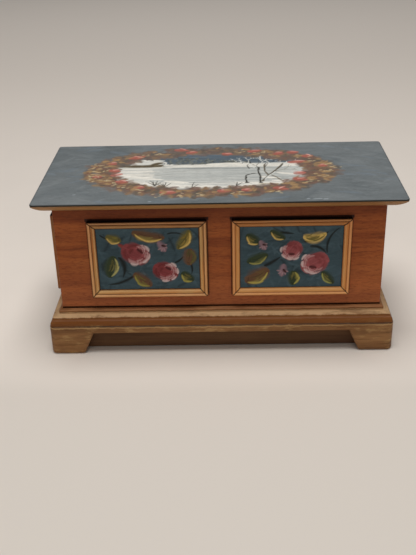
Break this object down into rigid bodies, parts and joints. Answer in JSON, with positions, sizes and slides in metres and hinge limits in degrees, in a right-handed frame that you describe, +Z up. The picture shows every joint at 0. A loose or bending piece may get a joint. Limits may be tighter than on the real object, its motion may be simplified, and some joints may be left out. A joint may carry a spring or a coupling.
{
  "type": "miniature blanket chest",
  "caption": "Dolls' house blanket chest with a hinged overhanging lid, painted panels in mitred frames, and a moulded bracket-foot base.",
  "frame": {"origin": "on the floor, under the middle of the closed lid, which is the middle of the whole outline seen from above", "axes": "+X along the front to the right, +Y to the back, +Z up"},
  "size_m": [0.11, 0.0536, 0.0514],
  "materials": {
    "lid_paint": "blue-grey brushed paint under satin varnish, with a painted wreath round a snow scene, on stained wood",
    "carcase": "red-brown stained wood, fine level grain, satin wax",
    "base": "gold-brown rubbed paint over stained wood, worn along the edges",
    "glue_block": "bare wood, stained dark brown where it shows between the feet",
    "frame": "gold-brown moulding, darker in its groove",
    "panel_paint": "dark teal paint with hand-painted roses and leaves, satin varnish",
    "brass": "dull brass"
  },
  "bodies": {
    "chest": {"front_board": "carcase", "back_board": "carcase", "left_side_board": "carcase", "right_side_board": "carcase", "bottom_board": "carcase", "front_base_moulding": "base", "left_base_moulding": "base", "right_base_moulding": "base", "front_plinth": "base", "left_plinth": "base", "right_plinth": "base", "back_plinth": "base", "front_base_liner": "glue_block", "back_base_liner": "glue_block", "left_base_liner": "glue_block", "right_base_liner": "glue_block", "front_left_glue_block": "glue_block", "front_right_glue_block": "glue_block", "back_left_glue_block": "glue_block", "back_right_glue_block": "glue_block", "front_left_frame_bottom": "frame", "front_left_frame_right": "frame", "front_left_frame_top": "frame", "front_left_frame_left": "frame", "front_right_frame_bottom": "frame", "front_right_frame_right": "frame", "front_right_frame_top": "frame", "front_right_frame_left": "frame", "left_end_frame_bottom": "frame", "left_end_frame_right": "frame", "left_end_frame_top": "frame", "left_end_frame_left": "frame", "front_left_panel": "panel_paint", "front_right_panel": "panel_paint", "left_end_panel": "panel_paint", "left_hinge_chest_leaf": "brass", "right_hinge_chest_leaf": "brass", "left_hinge_pin": "brass", "right_hinge_pin": "brass", "chest_hinge_nails": "brass"},
    "lid": {"lid_board": "lid_paint", "left_hinge_lid_leaf": "brass", "right_hinge_lid_leaf": "brass", "lid_hinge_nails": "brass"}
  },
  "joints": [
    {"name": "lid_hinge", "type": "hinge", "parent": "chest", "child": "lid", "pos_m": [0, 0.0247, 0.04822], "axis": [-1, 0, 0], "range_deg": [0, 110]}
  ]
}
